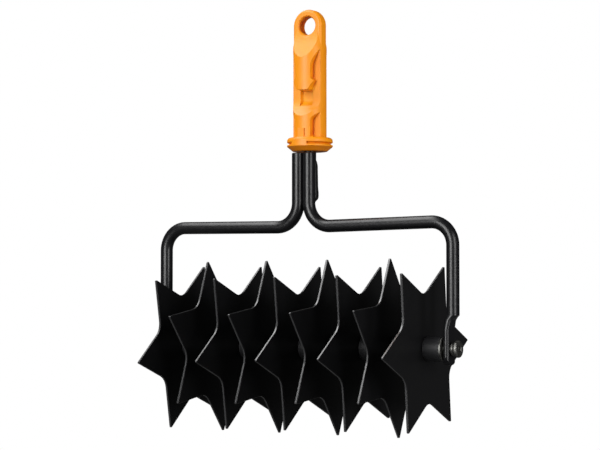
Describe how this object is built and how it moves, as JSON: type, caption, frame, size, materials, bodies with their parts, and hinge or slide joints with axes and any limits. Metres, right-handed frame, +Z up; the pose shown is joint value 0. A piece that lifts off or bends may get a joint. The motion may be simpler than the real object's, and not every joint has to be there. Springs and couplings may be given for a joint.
{
  "type": "star wheel cultivator head",
  "caption": "Hand cultivator head: star-shaped steel wheels on a square axle roll in a bent-rod fork under a moulded connector that plugs into a pole.",
  "frame": {"origin": "on the connector's axis, in the plane of the seat that the pole stops against", "axes": "+Z up along the connector into the pole, +X along the axle, -Y the connector's latch side"},
  "size_m": [0.2754, 0.1378, 0.3377],
  "materials": {
    "orange_plastic": "satin moulded",
    "black_paint": "semi-gloss black powder coat",
    "plated_steel": "dull zinc plate"
  },
  "bodies": {
    "frame": {"connector": "orange_plastic", "tang": "black_paint", "arm_left": "black_paint", "arm_right": "black_paint", "weld_left": "black_paint", "weld_right": "black_paint"},
    "roller": {"axle": "plated_steel", "star_wheel_1": "black_paint", "star_wheel_2": "black_paint", "star_wheel_3": "black_paint", "star_wheel_4": "black_paint", "star_wheel_5": "black_paint", "star_wheel_6": "black_paint", "star_wheel_7": "black_paint", "star_wheel_8": "black_paint", "star_wheel_9": "black_paint", "spacer_1": "black_paint", "spacer_2": "black_paint", "spacer_3": "black_paint", "spacer_4": "black_paint", "spacer_5": "black_paint", "spacer_6": "black_paint", "spacer_7": "black_paint", "spacer_8": "black_paint", "end_spacer_left": "black_paint", "end_spacer_right": "black_paint", "clamp_washer_left": "plated_steel", "clamp_washer_right": "plated_steel", "head_washer_left": "plated_steel", "head_washer_right": "plated_steel", "shoulder_screw_left": "plated_steel", "shoulder_screw_right": "plated_steel"}
  },
  "joints": [
    {"name": "roller_spin", "type": "hinge", "parent": "frame", "child": "roller", "pos_m": [0, -0.0098, -0.1663], "axis": [1, 0, 0], "continuous": true}
  ]
}
